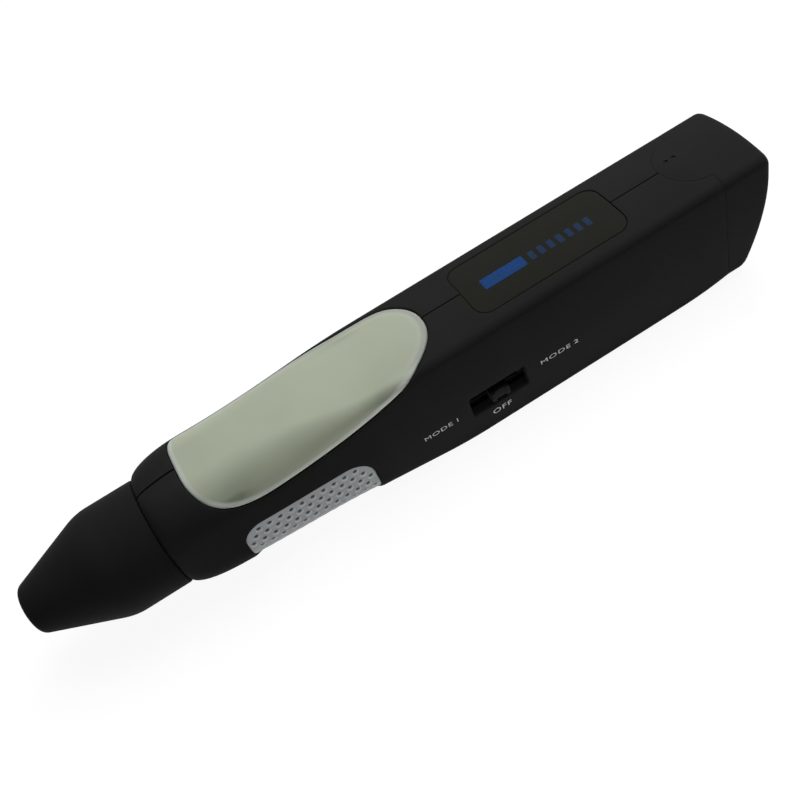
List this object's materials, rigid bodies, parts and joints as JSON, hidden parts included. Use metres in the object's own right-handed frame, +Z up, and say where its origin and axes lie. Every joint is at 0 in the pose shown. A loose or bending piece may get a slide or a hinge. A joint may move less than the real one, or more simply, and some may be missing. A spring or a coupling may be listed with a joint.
{
  "type": "diamond tester",
  "caption": "Hand-held gem probe: black two-half body with milky indicator window, dimpled finger pads, side slide switch and pull-off nose cap over a sprung probe.",
  "frame": {"origin": "middle of the underside, under the middle of the overall length and width", "axes": "+X from the nose to the rear end, +Y to the far side (the switch is on -Y), +Z up"},
  "size_m": [0.197, 0.0282, 0.0336],
  "materials": {
    "body_black": "fine matte",
    "window_milky": "satin",
    "plate_black": "satin",
    "pad_silver": "satin",
    "holder_black": "matte",
    "probe_metal": "polished",
    "spring_steel": "satin",
    "contact_brass": "satin",
    "wire_blue": "satin",
    "wire_red": "satin",
    "lamp_violet": "clear",
    "board_green": "satin",
    "reflector_white": "gloss",
    "led_green": "clear",
    "chip_black": "matte",
    "switch_steel": "satin",
    "knob_grey": "matte",
    "battery_case": "satin",
    "snap_black": "matte",
    "screw_steel": "satin"
  },
  "bodies": {
    "body": {"housing_left": "body_black", "housing_right": "body_black", "window": "window_milky", "label_plate": "plate_black", "grip_pad_left": "pad_silver", "grip_pad_right": "pad_silver", "nose_holder": "holder_black", "probe_spring": "spring_steel", "probe_contact": "contact_brass", "probe_lead": "wire_blue", "uv_lamp": "lamp_violet", "uv_leads": "spring_steel", "circuit_board": "board_green", "reflector": "reflector_white", "indicator_leds": "led_green", "controller_chip": "chip_black", "buzzer": "chip_black", "switch_body": "switch_steel", "battery": "battery_case", "battery_snap": "snap_black", "battery_leads": "wire_red", "housing_screws": "screw_steel"},
    "cap": {"nose_cap": "body_black"},
    "probe": {"probe_tip": "probe_metal"},
    "knob": {"switch_knob": "knob_grey"},
    "rear_cap": {"battery_cap": "body_black"}
  },
  "joints": [
    {"name": "cap_pull", "type": "slide", "parent": "body", "child": "cap", "axis": [-1, 0, 0], "range_m": [0, 0.045]},
    {"name": "probe_press", "type": "slide", "parent": "body", "child": "probe", "axis": [1, 0, 0], "range_m": [0, 0.0015], "stiffness_N_per_m": 400, "springref_m": -0.002, "deforming": ["probe_spring"]},
    {"name": "knob_slide", "type": "slide", "parent": "body", "child": "knob", "axis": [1, 0, 0], "range_m": [-0.0045, 0.0045]},
    {"name": "rear_cap_pull", "type": "slide", "parent": "body", "child": "rear_cap", "axis": [1, 0, 0], "range_m": [0, 0.03]}
  ]
}
